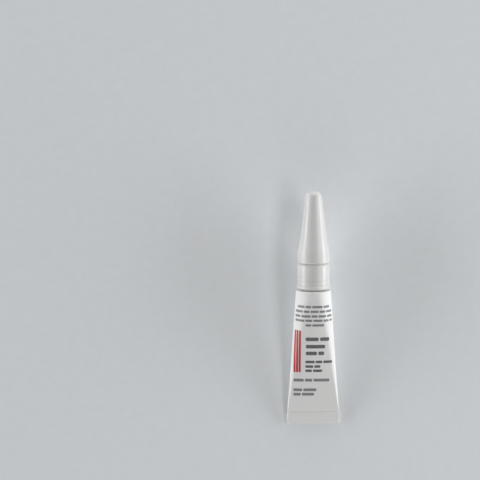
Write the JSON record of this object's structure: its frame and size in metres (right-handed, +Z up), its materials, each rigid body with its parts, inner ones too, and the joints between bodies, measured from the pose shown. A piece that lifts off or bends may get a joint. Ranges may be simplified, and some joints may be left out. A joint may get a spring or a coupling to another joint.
{
  "type": "super glue tube",
  "caption": "Small collapsible aluminium tube of super glue gel with a double-folded flat tail, a screw-on nozzle with a collar, and a tall tapered screw cap with a pin for the nozzle.",
  "frame": {"origin": "middle of the bounding box's underside, on the table that the tube lies on", "axes": "+Z up, out of the printed front as the tube lies on its back; +Y along the tube from its folded tail to its cap; +X across the width of the tail"},
  "size_m": [0.0164, 0.0734, 0.0118],
  "materials": {
    "tube_enamel": "satin",
    "seal_foil": "satin",
    "tail_sealant": "matte",
    "glue_gel": "gloss",
    "nozzle_plastic": "satin",
    "pin_steel": "satin",
    "cap_plastic": "satin"
  },
  "bodies": {
    "tube": {"tube_body": "tube_enamel", "neck_seal": "seal_foil", "tail_sealant": "tail_sealant", "glue_gel": "glue_gel"},
    "nozzle": {"nozzle": "nozzle_plastic"},
    "cap_core": {"cap_pin": "pin_steel"},
    "cap": {"cap": "cap_plastic"}
  },
  "joints": [
    {"name": "nozzle_lift", "type": "slide", "parent": "tube", "child": "nozzle", "axis": [0, 0.9937, 0.1123], "range_m": [0, 0.012]},
    {"name": "cap_lift", "type": "slide", "parent": "nozzle", "child": "cap_core", "axis": [0, 0.9937, 0.1123], "range_m": [0, 0.03]},
    {"name": "cap_turn", "type": "hinge", "parent": "cap_core", "child": "cap", "pos_m": [0, 0.01439, 0.00654], "axis": [0, 0.9937, 0.1123], "range_deg": [0, 720]}
  ]
}
